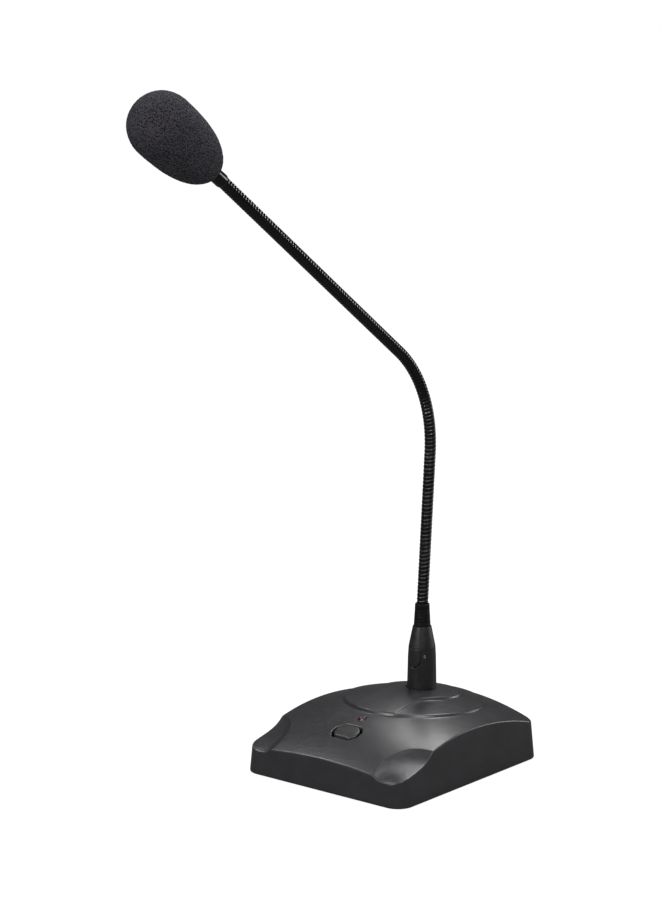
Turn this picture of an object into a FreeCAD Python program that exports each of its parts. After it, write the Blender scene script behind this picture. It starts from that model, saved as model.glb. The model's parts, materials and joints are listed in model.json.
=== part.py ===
"""Gooseneck desk microphone, in millimetres.

The origin is at the centre of the base's footprint, on the table. +Z is up, -Y is the front,
where the person speaking sits, and +X is that person's right as they face the base.
"""
import FreeCAD, Part
import math
import os

from FreeCAD import Vector

# Base ------------------------------------------------------------------------------------
BASE_WIDTH = 126.4        # across, at the rim
BASE_DEPTH = 146.2        # front to back, at the rim
RIM_Z = 0.8               # the shell's lower rim
CORNER_R = 11.2           # upright corners, at the rim
DRAFT = 0.096             # how far the walls lean in per millimetre of height
WALL = 2.4
TOP_SKIN = 2.6
CREST_Z = 42.3            # top surface above the origin
HALF_W = 60.0             # half width and half depth that the top surface is described with
HALF_D = 71.0

# Raised steps on the top
DISC_Y = 21.0
DISC_R = 45.0
DISC_FRONT_RISE = 1.7     # the disc stands this far above the top at its front edge
DISC_REAR_RISE = 1.1
KEY_R = 25.5
KEY_BAND = 17.0           # half width of the band that runs forward from the plug
KEY_RISE = 1.7            # the keyhole stands this far above the disc at the plug
KEY_FRONT_RISE = 0.4      # and this far at the disc's front edge
SCOOP_X = 54.0
SCOOP_Y = -57.0
SCOOP_R = 52.0
SCOOP_DEPTH = 2.6

# Button and indicator light
BUTTON_Y = -46.6
BUTTON_HOLE = (20.0, 13.2)
BUTTON_CAP = (17.5, 11.0)
CAP_FOOT = 28.4           # height of the cap's underside
CAP_INSIDE = 29.8         # height of the hollow's ceiling inside the cap
CAP_PROUD = 0.3           # the cap stands this far above the top
CAP_WALL = 1.3
PLUNGER_R = 1.7
SWITCH = (8.5, 8.5, 4.8)
SPRING_R = 2.9
SPRING_WIRE_R = 0.22
SPRING_TURNS = 3
LIGHT_Y = -31.7
LIGHT_HOLE_R = 2.5
LENS_R = 1.5
LENS_FLANGE_Z = 32.6

# Bottom
PLATE_Z = 2.0
PLATE_T = 2.2
BALLAST = (88.0, 92.0, 5.0)
BALLAST_Y = 5.0
PAD_INSET = 9.0
PAD_HOLE_R = 3.5
BALLAST_SCREW_X = 30.0

# Screws
SCREW_AT = (48.0, 58.0)
SCREW_R = 1.45
SCREW_HEAD_R = 2.8
HEAD_T = 1.2
DRIVER_SLOT = (4.0, 0.7, 0.5)
CLEARANCE_R = 1.7         # holes that a screw passes through
SINK_R = 3.0              # sinks for screw heads in the bottom plate
PILOT_R = 1.5             # holes that a screw bites in
PILOT_DEPTH = 7.0
BOSS_R = 3.6

# Circuit board
BOARD = (58.0, 38.0, 1.6)
BOARD_Y = -43.0
BOARD_Z = 20.0
BOARD_SCREW_AT = (25.0, 15.0)

# Three-pole connectors: the base's socket, the plug in it and the output in the rear wall
BARREL_R = 8.1            # bore of a male connector's barrel
BARREL_WALL = 1.7
BARREL_GAP = 0.2          # between a barrel and the shell's opening for it
BARREL_BEHIND = 2.0       # length of the barrel behind the insert
PIN_R = 1.175
PIN_SHANK_R = 1.6         # the thicker part that the insert holds
PIN_CIRCLE_R = 4.0
PIN_LENGTH = 11.5         # in front of the insert
PIN_TAIL = 2.0            # behind the insert
WIRE_R = 0.6
PLUG_Y = 29.2
SOCKET_TOP = 44.6
SOCKET_FLOOR = 27.0
INSERT_T = 3.0
SOCKET_SCREW_X = 15.0
FLANGE_T = 2.0
FLANGE_Z = 31.0           # underside of the socket's flange
SOCKET_FLANGE = (40.0, 22.0)
OUTPUT_Z = 18.0
OUTPUT_MOUTH = 72.6
OUTPUT_FLOOR = 56.0
OUTPUT_SCREW_X = 13.5
OUTPUT_FLANGE = (36.0, 24.0)
PAD_INNER = 66.0          # inner face of the thick patch of rear wall that carries the output
REAR_WALL_PATCH = (40.0, 28.0)

# Plug
NOSE_R = 7.95
NOSE_Z = 30.6
PLUG_FOOT_Z = 44.9
PLUG_FOOT_R = 9.45
PLUG_MID = (66.0, 9.0)    # height and radius
PLUG_SHOULDER = (72.0, 8.6)
PLUG_TOP = (85.3, 6.0)
LATCH_LOW_Z = 59.6
LATCH_HIGH_Z = 71.8
LATCH_HALF_W = 4.5
LATCH_GAP = 0.3
LEVER_W = 3.6
LEVER_SLOT_W = 4.6
SHELL_BORE_R = 7.5
INSERT_R = 6.7
BOOT_LOW_R = 5.45
BOOT_TOP_R = 4.6
SET_SCREW_Z = 67.0
SET_SCREW_R = 1.0
SET_SCREW_TURN = -42.0    # degrees from +X

# Neck: a straight, an arc and a straight, all in the plane x = 0
NECK_R = 3.7
NECK_BORE_R = 2.3
CABLE_R = 1.6
NECK_START_Z = 100.0
LEAN = -4.1               # degrees forward of upright, so the first straight leans back
LOWER_STRAIGHT = 96.8
BEND_R = 76.0
BEND_ANGLE = 59.0
UPPER_STRAIGHT = 197.5
LINKS = 8
LINK_GAP = 0.7            # between a hinge and the tube on each side of it

# Head and windscreen
HEAD_HEADING = 56.2       # degrees forward of upright
HEAD_R = 4.2
HEAD_BORE_R = 3.7
SLEEVE_SHOWN = 9.1
SLEEVE_LENGTH = 18.0
HOUSING_END = 43.0
GRILLE_T = 1.6
SOUND_HOLE_R = 0.7
SOUND_HOLE_RING_R = 2.3
CAPSULE_R = 3.0
CAPSULE_LENGTH = 6.5
CAPSULE_REAR = HOUSING_END - 1.0 - CAPSULE_LENGTH
FOAM_R = 19.4
FOAM_REAR = 49.2          # from the widest place to the mouth
FOAM_FRONT = 19.6         # from the widest place to the tip
FOAM_REAR_POWER = 2.76
FOAM_FRONT_POWER = 2.05
FOAM_BORE_R = 4.3
FOAM_BORE_DEPTH = 38.0

UP = Vector(0, 0, 1)
FORWARD = Vector(0, -1, 0)


# Helpers ---------------------------------------------------------------------------------
def rod(radius, start, end):
    """A round bar from one point to another."""
    along = end - start
    return Part.makeCylinder(radius, along.Length, start, along)


def ring(outer, inner, start, end):
    """A tube between two points."""
    along = (end - start).normalize()
    return rod(outer, start, end).cut(rod(inner, start - along, end + along))


def box(size, centre_x, centre_y, low_z):
    """An upright block centred on a point in plan."""
    corner = Vector(centre_x - size[0] / 2, centre_y - size[1] / 2, low_z)
    return Part.makeBox(size[0], size[1], size[2], corner)


def fused(shapes):
    whole = shapes[0]
    for shape in shapes[1:]:
        whole = whole.fuse(shape)
    return whole.removeSplitter()


def polygon(points):
    return Part.makePolygon(points + points[:1])


def turned(profile, base, axis):
    """The solid of revolution of (distance along the axis, radius) points."""
    across = Vector(1, 0, 0)
    points = [base + axis * along + across * radius for along, radius in profile]
    return Part.Face(polygon(points)).revolve(base, axis, 360)


def drilled(shape, radius, places, low_z, high_z):
    """The shape with an upright hole at each place."""
    for place in places:
        shape = shape.cut(rod(radius, Vector(place.x, place.y, low_z), Vector(place.x, place.y, high_z)))
    return shape


def pair(x, y):
    """Two places, one on each side."""
    return [Vector(x, y, 0), Vector(-x, y, 0)]


def four(at, centre_y=0.0):
    """Four places at the corners of a rectangle."""
    return pair(at[0], centre_y + at[1]) + pair(at[0], centre_y - at[1])


def contact_pin(tail, shoulder, tip):
    """A contact: a thicker shank as far as its shoulder, and the free pin in front of it."""
    return rod(PIN_SHANK_R, tail, shoulder).fuse(rod(PIN_R, shoulder, tip))


def pin_offsets():
    """The three contacts' places round a connector's axis, as (across, up)."""
    angles = [math.radians(a) for a in (90, 210, 330)]
    return [(PIN_CIRCLE_R * math.cos(a), PIN_CIRCLE_R * math.sin(a)) for a in angles]


def plug_point(z, x=0.0, y=0.0):
    """A point near the plug's upright axis."""
    return Vector(x, PLUG_Y + y, z)


def output_point(y, x=0.0, z=0.0):
    """A point near the output connector's axis, which runs to the rear."""
    return Vector(x, y, OUTPUT_Z + z)


# The base's outline and top surface ------------------------------------------------------
def dome(x, y):
    """Height of the base's smooth top: highest just behind the middle, falling to the corners."""
    t = y / HALF_D
    spine = CREST_Z + 4.4 * t - 13.2 * t ** 2 + 2.5 * t ** 3 - 1.5 * t ** 4
    sag = 7.8 + 3.4 * t
    return spine - sag * (x / HALF_W) ** 2


def disc_rise(y):
    """How far the raised disc stands above the dome: most at its front edge."""
    share = (y - (DISC_Y - DISC_R)) / (2 * DISC_R)
    return DISC_FRONT_RISE + (DISC_REAR_RISE - DISC_FRONT_RISE) * share


def key_rise(y):
    """How far the keyhole stands above the disc: most at the plug, least at the disc's front edge."""
    share = (y - PLUG_Y) / (DISC_Y - DISC_R - PLUG_Y)
    return KEY_RISE + (KEY_FRONT_RISE - KEY_RISE) * share ** 2


def above(height):
    """Everything above a surface given as a height for each x and y."""
    xs = [-70 + 20 * i for i in range(8)]
    ys = [-80 + 20 * i for i in range(9)]
    surface = Part.BSplineSurface()
    surface.interpolate([[Vector(x, y, height(x, y)) for y in ys] for x in xs])
    return surface.toShape().extrude(Vector(0, 0, 60))


def outline(z, inset=0.0):
    """The base's rounded rectangle at one height."""
    lean = DRAFT * (z - RIM_Z) + inset
    hx, hy, r = BASE_WIDTH / 2 - lean, BASE_DEPTH / 2 - lean, max(CORNER_R - lean, 1.0)
    edges = []
    corners = [(hx - r, hy - r, 0), (r - hx, hy - r, 90), (r - hx, r - hy, 180), (hx - r, r - hy, 270)]
    for cx, cy, start in corners:
        circle = Part.Circle(Vector(cx, cy, z), UP, r)
        edges.append(Part.Edge(circle, math.radians(start), math.radians(start + 90)))
    joined = []
    for arc, following in zip(edges, edges[1:] + edges[:1]):
        joined += [arc, Part.makeLine(arc.Vertexes[-1].Point, following.Vertexes[0].Point)]
    return Part.Wire(joined)


def tapered(low_z, high_z, inset=0.0):
    return Part.makeLoft([outline(low_z, inset), outline(high_z, inset)], True, True)


def octagon(size, low_z, high_z):
    """The button's outline: straight front and rear edges, ends drawn out to a shallow point."""
    half_x, half_y = size[0] / 2, size[1] / 2
    flat_x, flat_y = 0.7 * half_x, 0.5 * half_y
    quarter = [(half_x, flat_y), (flat_x, half_y)]
    points = quarter + [(-x, y) for x, y in reversed(quarter)]
    points += [(-x, -y) for x, y in quarter] + [(x, -y) for x, y in reversed(quarter)]
    ordered = [Vector(x, BUTTON_Y + y, low_z) for x, y in points]
    return Part.Face(polygon(ordered)).extrude(Vector(0, 0, high_z - low_z))


def without_scoops(shape, extra=0.0):
    """The shape less the ball that hollows each of the two front corners."""
    centre_z = dome(SCOOP_X, SCOOP_Y) - SCOOP_DEPTH + SCOOP_R
    for place in pair(SCOOP_X, SCOOP_Y):
        shape = shape.cut(Part.makeSphere(SCOOP_R + extra, place + UP * centre_z))
    return shape


# Base pieces -----------------------------------------------------------------------------
def raised_steps():
    """The disc on the top, and the keyhole step on the disc."""
    disc_front = DISC_Y - DISC_R
    disc = rod(DISC_R, Vector(0, DISC_Y, 30), Vector(0, DISC_Y, 60))
    low_disc = disc.cut(above(lambda x, y: dome(x, y) + disc_rise(y)))
    band = box((2 * KEY_BAND, PLUG_Y - disc_front, 30), 0, (PLUG_Y + disc_front) / 2, 30)
    keyhole = rod(KEY_R, plug_point(30), plug_point(60)).fuse(band)
    key = disc.common(keyhole).cut(above(lambda x, y: dome(x, y) + disc_rise(y) + key_rise(y)))
    return low_disc.fuse(key)


def screw_posts():
    """Each post under the top, as its place and the height of its foot."""
    posts = [(place, PLATE_Z + PLATE_T) for place in four(SCREW_AT)]
    posts += [(place, BOARD_Z + BOARD[2]) for place in four(BOARD_SCREW_AT, BOARD_Y)]
    posts += [(place, FLANGE_Z + FLANGE_T) for place in pair(SOCKET_SCREW_X, PLUG_Y)]
    return posts


def top_shell():
    """The moulded top: skin and walls, screw posts, and its openings."""
    body = without_scoops(tapered(RIM_Z, 55).cut(above(dome))).fuse(raised_steps())
    room = tapered(RIM_Z - 1, 55, WALL).cut(above(lambda x, y: dome(x, y) - TOP_SKIN))
    room = without_scoops(room, TOP_SKIN)
    for place, foot in screw_posts():
        post = Part.makeCylinder(BOSS_R, 60 - foot, place + UP * foot)
        room = room.cut(post.cut(Part.makeCylinder(PILOT_R, PILOT_DEPTH, place + UP * foot)))
    patch_w, patch_h = REAR_WALL_PATCH
    patch = Part.makeBox(patch_w, 20, patch_h, Vector(-patch_w / 2, PAD_INNER, OUTPUT_Z - patch_h / 2 + 0.5))
    shell = body.cut(room.cut(patch))
    shell = shell.cut(octagon(BUTTON_HOLE, 20, 60))
    shell = drilled(shell, LIGHT_HOLE_R, [Vector(0, LIGHT_Y, 0)], 30, 60)
    opening_r = BARREL_R + BARREL_WALL + BARREL_GAP
    shell = drilled(shell, opening_r, [plug_point(0)], 32, 60)
    shell = shell.cut(rod(opening_r, output_point(60), output_point(80)))
    for x in (OUTPUT_SCREW_X, -OUTPUT_SCREW_X):
        shell = shell.cut(rod(PILOT_R, output_point(60, x), output_point(80, x)))
    return shell.removeSplitter()


def bottom_plate():
    plate = tapered(PLATE_Z, PLATE_Z + PLATE_T, WALL + 0.15)
    places = four(SCREW_AT) + pair(BALLAST_SCREW_X, BALLAST_Y)
    plate = drilled(plate, CLEARANCE_R, places, PLATE_Z - 1, PLATE_Z + PLATE_T + 1)
    return drilled(plate, SINK_R, places, PLATE_Z - 1, PLATE_Z + HEAD_T)


def pan_screw(place, length, direction=UP):
    """A pan-head screw whose head's outer face is at a point."""
    head = Part.makeCylinder(SCREW_HEAD_R, HEAD_T, place, direction)
    slot = box(DRIVER_SLOT, 0, 0, 0)
    slot.Placement = FreeCAD.Placement(place, FreeCAD.Rotation(UP, direction))
    return head.fuse(Part.makeCylinder(SCREW_R, length, place, direction)).cut(slot)


def bottom_screws():
    return [pan_screw(place + UP * PLATE_Z, 7.5) for place in four(SCREW_AT)]


def ballast_plate():
    plate = box(BALLAST, 0, BALLAST_Y, PLATE_Z + PLATE_T)
    plate = plate.makeFillet(6, [e for e in plate.Edges if abs(e.tangentAt(0).z) > 0.9])
    return drilled(plate, PILOT_R, pair(BALLAST_SCREW_X, BALLAST_Y), 3, 12)


def ballast_screws():
    return [pan_screw(place + UP * PLATE_Z, 6.5) for place in pair(BALLAST_SCREW_X, BALLAST_Y)]


def rubber_pad():
    """The non-slip pad under the bottom plate, with a hole for each screw."""
    pad = Part.Face(outline(0, PAD_INSET)).extrude(UP * PLATE_Z)
    return drilled(pad, PAD_HOLE_R, four(SCREW_AT) + pair(BALLAST_SCREW_X, BALLAST_Y), -1, PLATE_Z + 1)


def circuit_board():
    board = box(BOARD, 0, BOARD_Y, BOARD_Z)
    return drilled(board, CLEARANCE_R, four(BOARD_SCREW_AT, BOARD_Y), BOARD_Z - 1, BOARD_Z + BOARD[2] + 1)


def board_screws():
    return [pan_screw(place + UP * (BOARD_Z - HEAD_T), 4.4) for place in four(BOARD_SCREW_AT, BOARD_Y)]


def board_parts():
    """A transformer block, two small chips and two upright capacitors."""
    top = BOARD_Z + BOARD[2]
    blocks = [box((9, 8, 6), -17, -38, top), box((6, 5, 1.6), 15, -50, top), box((5, 4, 1.6), -15, -51, top)]
    cans = [Part.makeCylinder(2.5, 7, Vector(x, -36, top)) for x in (13, 19)]
    return blocks + cans


def switch_body():
    """The push switch on the board, with a well for the plunger."""
    low = BOARD_Z + BOARD[2]
    block = box(SWITCH, 0, BUTTON_Y, low)
    return drilled(block, PLUNGER_R + 0.05, [Vector(0, BUTTON_Y, 0)], low + 1.8, low + SWITCH[2] + 1)


def switch_plunger():
    return rod(PLUNGER_R, Vector(0, BUTTON_Y, BOARD_Z + 5.2), Vector(0, BUTTON_Y, BOARD_Z + 10.6))


def button_cap():
    """The cap: its top follows the base's slope, and it is hollow underneath."""
    cap = octagon(BUTTON_CAP, CAP_FOOT, 50).cut(above(lambda x, y: dome(x, y) + CAP_PROUD))
    hollow = (BUTTON_CAP[0] - 2 * CAP_WALL, BUTTON_CAP[1] - 2 * CAP_WALL)
    cap = cap.cut(octagon(hollow, CAP_FOOT - 1, CAP_INSIDE))
    return drilled(cap, PLUNGER_R, [Vector(0, BUTTON_Y, 0)], CAP_FOOT - 1, BOARD_Z + 10.6)


def button_spring():
    """The coil between the switch and the cap."""
    low = BOARD_Z + BOARD[2] + SWITCH[2]
    pitch = (CAP_INSIDE - low - 2 * SPRING_WIRE_R) / SPRING_TURNS
    helix = Part.makeHelix(pitch, SPRING_TURNS * pitch, SPRING_R)
    section = Part.Wire(Part.makeCircle(SPRING_WIRE_R, Vector(SPRING_R, 0, 0), Vector(0, 1, 0)))
    spring = Part.Wire(helix).makePipeShell([section], True, True)
    spring.translate(Vector(0, BUTTON_Y, low + SPRING_WIRE_R))
    return spring


def light_spacer():
    low = Vector(0, LIGHT_Y, BOARD_Z + BOARD[2])
    return ring(2.9, 1.75, low, low + UP * 11)


def indicator_light():
    """A round-topped lens with a flange, on two wire legs that stand on the board."""
    foot = Vector(0, LIGHT_Y, 0)
    flange = Part.makeCylinder(2.0, 0.9, foot + UP * LENS_FLANGE_Z)
    body = Part.makeCylinder(LENS_R, 3.0, foot + UP * (LENS_FLANGE_Z + 0.6))
    peak = Part.makeSphere(LENS_R, foot + UP * (LENS_FLANGE_Z + 3.6))
    legs = [Part.makeCylinder(0.3, 12, Vector(x, LIGHT_Y, BOARD_Z + BOARD[2])) for x in (-1.1, 1.1)]
    return fused([flange, body, peak] + legs)


# The base's socket -----------------------------------------------------------------------
def socket_shell():
    """The barrel the plug stands in, with its flange and the notch that the latch drops into."""
    foot = plug_point(SOCKET_FLOOR - BARREL_BEHIND)
    barrel = ring(BARREL_R + BARREL_WALL, BARREL_R, foot, plug_point(SOCKET_TOP))
    flange = box((*SOCKET_FLANGE, FLANGE_T), 0, PLUG_Y, FLANGE_Z)
    flange = drilled(flange, BARREL_R + 0.1, [plug_point(0)], 30, 40)
    flange = drilled(flange, CLEARANCE_R, pair(SOCKET_SCREW_X, PLUG_Y), 30, 40)
    notch = Part.makeBox(5.4, 4, 12, plug_point(34.5, -2.7, -9.2))
    return barrel.fuse(flange).cut(notch).removeSplitter()


def socket_insert():
    disc = rod(BARREL_R - 0.02, plug_point(SOCKET_FLOOR), plug_point(SOCKET_FLOOR + INSERT_T))
    for x, y in pin_offsets():
        disc = disc.cut(rod(PIN_SHANK_R, plug_point(20, x, y), plug_point(40, x, y)))
    return disc


def socket_pins():
    tail, shoulder = SOCKET_FLOOR - PIN_TAIL, SOCKET_FLOOR + INSERT_T
    tip = shoulder + PIN_LENGTH
    return [contact_pin(*(plug_point(z, x, y) for z in (tail, shoulder, tip))) for x, y in pin_offsets()]


def socket_screws():
    return [pan_screw(place + UP * (FLANGE_Z - HEAD_T), 7.0) for place in pair(SOCKET_SCREW_X, PLUG_Y)]


# The output connector in the rear wall ---------------------------------------------------
def output_shell():
    """The barrel in the rear wall, with the flange behind the wall."""
    rear = output_point(OUTPUT_FLOOR - BARREL_BEHIND)
    barrel = ring(BARREL_R + BARREL_WALL, BARREL_R, rear, output_point(OUTPUT_MOUTH))
    width, height = OUTPUT_FLANGE
    corner = output_point(PAD_INNER - FLANGE_T, -width / 2, -height / 2)
    flange = Part.makeBox(width, FLANGE_T, height, corner)
    flange = flange.cut(rod(BARREL_R + 0.1, output_point(60), output_point(70)))
    for x in (OUTPUT_SCREW_X, -OUTPUT_SCREW_X):
        flange = flange.cut(rod(PILOT_R, output_point(60, x), output_point(70, x)))
    return barrel.fuse(flange).removeSplitter()


def output_insert():
    disc = rod(BARREL_R - 0.02, output_point(OUTPUT_FLOOR), output_point(OUTPUT_FLOOR + INSERT_T))
    for x, z in pin_offsets():
        disc = disc.cut(rod(PIN_SHANK_R, output_point(50, x, z), output_point(65, x, z)))
    return disc


def output_pins():
    tail, shoulder = OUTPUT_FLOOR - PIN_TAIL, OUTPUT_FLOOR + INSERT_T
    tip = shoulder + PIN_LENGTH
    return [contact_pin(*(output_point(y, x, z) for y in (tail, shoulder, tip))) for x, z in pin_offsets()]


def output_screws():
    return [pan_screw(output_point(73.2, x), 8.5, FORWARD) for x in (OUTPUT_SCREW_X, -OUTPUT_SCREW_X)]


def wire(points, leaving):
    """A round wire through points, which leaves its first one in a given direction and ends upright."""
    curve = Part.BSplineCurve()
    curve.interpolate(Points=points, InitialTangent=leaving, FinalTangent=UP)
    path = Part.Wire(curve.toShape())
    return path.makePipeShell([Part.Wire(Part.makeCircle(WIRE_R, points[0], leaving))], True, True)


def socket_wires():
    """Three wires from the socket down and forward to the board."""
    start_z = SOCKET_FLOOR - PIN_TAIL - 0.2
    wires = []
    for i, (x, y) in enumerate(pin_offsets()):
        run_x = 4.0 * (i - 1)
        stops = [plug_point(start_z, x, y), Vector(run_x, 0, 13), Vector(run_x, -27, BOARD_Z - 0.2)]
        wires.append(wire(stops, -UP))
    return wires


def output_wires():
    """Three wires from the output connector, round the socket, to the board."""
    start_y = OUTPUT_FLOOR - PIN_TAIL - 0.2
    wires = []
    for i, (x, z) in enumerate(pin_offsets()):
        run_x = -13.0 - 2.5 * i
        stops = [output_point(start_y, x, z), Vector(0.7 * run_x, 40, 17), Vector(run_x, 25, 15.5)]
        stops += [Vector(run_x, -18, 15), Vector(run_x, -27, BOARD_Z - 0.2)]
        wires.append(wire(stops, FORWARD))
    return wires


# Plug ------------------------------------------------------------------------------------
def plug_outside():
    """Outer radius of the plug's body from its foot to its top."""
    return [(PLUG_FOOT_Z, PLUG_FOOT_R), PLUG_MID, PLUG_SHOULDER, PLUG_TOP]


def latch_prism(low_z, high_z, half_w, near=-12.0, far=-4.0):
    """The latch's U outline, with a round lower end, run front to back."""
    centre_z = low_z + half_w
    arch = rod(half_w, plug_point(centre_z, 0, near), plug_point(centre_z, 0, far))
    block = Part.makeBox(2 * half_w, far - near, high_z - centre_z, plug_point(centre_z, -half_w, near))
    return arch.fuse(block)


def plug_shell():
    """The plug's body: nose, tapered outside, bore, and openings for the latch and its screw."""
    profile = [(NOSE_Z, 6.8), (NOSE_Z, NOSE_R), (PLUG_FOOT_Z, NOSE_R)] + plug_outside()
    profile += [(PLUG_TOP[0], 5.1), (70.0, SHELL_BORE_R), (46.0, SHELL_BORE_R), (46.0, 6.8)]
    shell = turned(profile, plug_point(0), UP)
    shell = shell.cut(latch_prism(LATCH_LOW_Z, LATCH_HIGH_Z, LATCH_HALF_W + LATCH_GAP))
    side = -LEVER_SLOT_W / 2
    shell = shell.cut(Part.makeBox(LEVER_SLOT_W, 4.0, PLUG_FOOT_Z - 34, plug_point(34, side, -10.0)))
    shell = shell.cut(Part.makeBox(LEVER_SLOT_W, 1.8, 3.0, plug_point(PLUG_FOOT_Z - 1, side, -7.8)))
    return shell.cut(set_screw_rod(SET_SCREW_R + 0.05, 6.0, 12.0))


def plug_insert():
    """The insulator inside the plug, with a bore for each contact and room for the lever."""
    body = rod(INSERT_R, plug_point(31.0), plug_point(46.0))
    body = body.cut(Part.makeBox(6, 5, 20, plug_point(30, -3, -4.8 - 5)))
    for x, y in pin_offsets():
        body = body.cut(rod(1.75, plug_point(30, x, y), plug_point(50, x, y)))
    return body


def plug_contacts():
    return [ring(1.7, 1.25, plug_point(31.2, x, y), plug_point(48.5, x, y)) for x, y in pin_offsets()]


def latch_button():
    """The push pad in the plug's side, the lever inside it and the hook at the lever's foot."""
    low_z = LATCH_LOW_Z - 2
    section = [(low_z, 7.6), (low_z, 9.18), PLUG_MID, PLUG_SHOULDER]
    section += [(PLUG_SHOULDER[0], 7.0), (PLUG_MID[0], 7.6)]
    pad = turned(section, plug_point(0), UP)
    pad = pad.common(latch_prism(LATCH_LOW_Z, LATCH_HIGH_Z - LATCH_GAP, LATCH_HALF_W))
    lever = Part.makeBox(LEVER_W, 1.1, 30, plug_point(36, -LEVER_W / 2, -7.2))
    link = Part.makeBox(LEVER_W, 2.2, 5, plug_point(61, -LEVER_W / 2, -8.2))
    hook = Part.makeBox(LEVER_W, 1.8, 3, plug_point(37, -LEVER_W / 2, -8.9))
    return fused([pad, lever, link, hook])


def latch_spring():
    """A flat leaf behind the latch's lever."""
    return Part.makeBox(3.0, 0.3, 16, plug_point(46.5, -1.5, -4.6))


def set_screw_rod(radius, start, end):
    turn = math.radians(SET_SCREW_TURN)
    way = Vector(math.cos(turn), math.sin(turn), 0)
    return rod(radius, plug_point(SET_SCREW_Z) + way * start, plug_point(SET_SCREW_Z) + way * end)


def plug_set_screw():
    return set_screw_rod(SET_SCREW_R, 7.6, 8.8).cut(set_screw_rod(0.5, 8.2, 9.5))


def strain_boot():
    profile = [(78.0, 3.8), (78.0, 4.9), (PLUG_TOP[0], 4.9), (PLUG_TOP[0], BOOT_LOW_R), (99.3, BOOT_TOP_R)]
    profile += [(NECK_START_Z, 4.35), (98.9, 3.8)]
    return turned(profile, plug_point(0), UP)


def cable_clamp():
    """A split ring round the neck's root, above the reach of the pushed latch."""
    clamp = ring(6.0, NECK_R + 0.05, plug_point(LATCH_HIGH_Z + 0.2), plug_point(77.5))
    return clamp.cut(Part.makeBox(1.2, 8, 8, plug_point(70, -0.6, 0)))


def plug_leads():
    return [rod(0.55, plug_point(48.7, x, y), plug_point(68.5, x / 4, y / 4)) for x, y in pin_offsets()]


def neck_root():
    return ring(NECK_R, NECK_BORE_R, plug_point(70.0), plug_point(NECK_START_Z - LINK_GAP))


def neck_cable_root():
    return rod(CABLE_R, plug_point(69.0), plug_point(NECK_START_Z - LINK_GAP))


# Neck ------------------------------------------------------------------------------------
def heading_vector(degrees):
    """The direction that leans forward of upright by this many degrees."""
    lean = math.radians(degrees)
    return Vector(0, -math.sin(lean), math.cos(lean))


def square_to(degrees):
    """The direction in the neck's plane at right angles to a heading, on its rear side."""
    return heading_vector(degrees - 90)


ARC_LENGTH = math.radians(BEND_ANGLE) * BEND_R
NECK_LENGTH = LOWER_STRAIGHT + ARC_LENGTH + UPPER_STRAIGHT
NECK_START = Vector(0, PLUG_Y + 0.1, NECK_START_Z)
BEND_START = NECK_START + heading_vector(LEAN) * LOWER_STRAIGHT
BEND_CENTRE = BEND_START - square_to(LEAN) * BEND_R
UPPER_LEAN = LEAN + BEND_ANGLE


def neck_at(s):
    """The neck's centre line and its heading, at a distance along it from the boot."""
    if s <= LOWER_STRAIGHT:
        return NECK_START + heading_vector(LEAN) * s, LEAN
    if s <= LOWER_STRAIGHT + ARC_LENGTH:
        lean = LEAN + math.degrees((s - LOWER_STRAIGHT) / BEND_R)
        return BEND_CENTRE + square_to(lean) * BEND_R, lean
    bend_end = BEND_CENTRE + square_to(UPPER_LEAN) * BEND_R
    return bend_end + heading_vector(UPPER_LEAN) * (s - LOWER_STRAIGHT - ARC_LENGTH), UPPER_LEAN


def along_neck(radius, start, end):
    """A round bar that follows the neck's centre line between two distances along it."""
    stops = [start] + [b for b in (LOWER_STRAIGHT, LOWER_STRAIGHT + ARC_LENGTH) if start < b < end] + [end]
    pieces = []
    for low, high in zip(stops, stops[1:]):
        place, lean = neck_at(low + 1e-9)
        middle = (low + high) / 2
        if LOWER_STRAIGHT < middle < LOWER_STRAIGHT + ARC_LENGTH:
            section = Part.Face(Part.Wire(Part.makeCircle(radius, place, heading_vector(lean))))
            pieces.append(section.revolve(BEND_CENTRE, Vector(1, 0, 0), math.degrees((high - low) / BEND_R)))
        else:
            pieces.append(rod(radius, place, neck_at(high)[0]))
    return fused(pieces) if len(pieces) > 1 else pieces[0]


def link_span(number):
    length = NECK_LENGTH / LINKS
    return (number - 1) * length + LINK_GAP, number * length - LINK_GAP


def neck_link(number):
    start, end = link_span(number)
    return along_neck(NECK_R, start, end).cut(along_neck(NECK_BORE_R, start, end))


def neck_cable(number):
    return along_neck(CABLE_R, *link_span(number))


# Head and windscreen ---------------------------------------------------------------------
HEAD_START = neck_at(NECK_LENGTH)[0]
HEAD_AXIS = heading_vector(HEAD_HEADING)


def head_point(along, across=0.0):
    return HEAD_START + HEAD_AXIS * along + Vector(across, 0, 0)


def head_sleeve():
    return ring(HEAD_R, HEAD_BORE_R, head_point(LINK_GAP), head_point(SLEEVE_LENGTH))


def capsule_housing():
    return ring(HEAD_R, HEAD_BORE_R, head_point(SLEEVE_LENGTH), head_point(HOUSING_END))


def capsule_grille():
    """A round cap with seven sound holes."""
    cap = rod(HEAD_R, head_point(HOUSING_END), head_point(HOUSING_END + GRILLE_T))
    side = square_to(HEAD_HEADING)
    spots = [Vector(0, 0, 0)]
    for i in range(6):
        turn = math.radians(60 * i)
        spots.append((Vector(math.cos(turn), 0, 0) + side * math.sin(turn)) * SOUND_HOLE_RING_R)
    inside, outside = head_point(HOUSING_END - 1), head_point(HOUSING_END + 3)
    for spot in spots:
        cap = cap.cut(rod(SOUND_HOLE_R, inside + spot, outside + spot))
    return cap


def capsule():
    return rod(CAPSULE_R, head_point(CAPSULE_REAR), head_point(CAPSULE_REAR + CAPSULE_LENGTH))


def capsule_ring():
    return ring(HEAD_BORE_R, CAPSULE_R, head_point(CAPSULE_REAR + 0.5), head_point(CAPSULE_REAR + 5.5))


def capsule_leads():
    return [rod(0.5, head_point(2.0, x), head_point(CAPSULE_REAR, x)) for x in (1.0, -1.0)]


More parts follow.
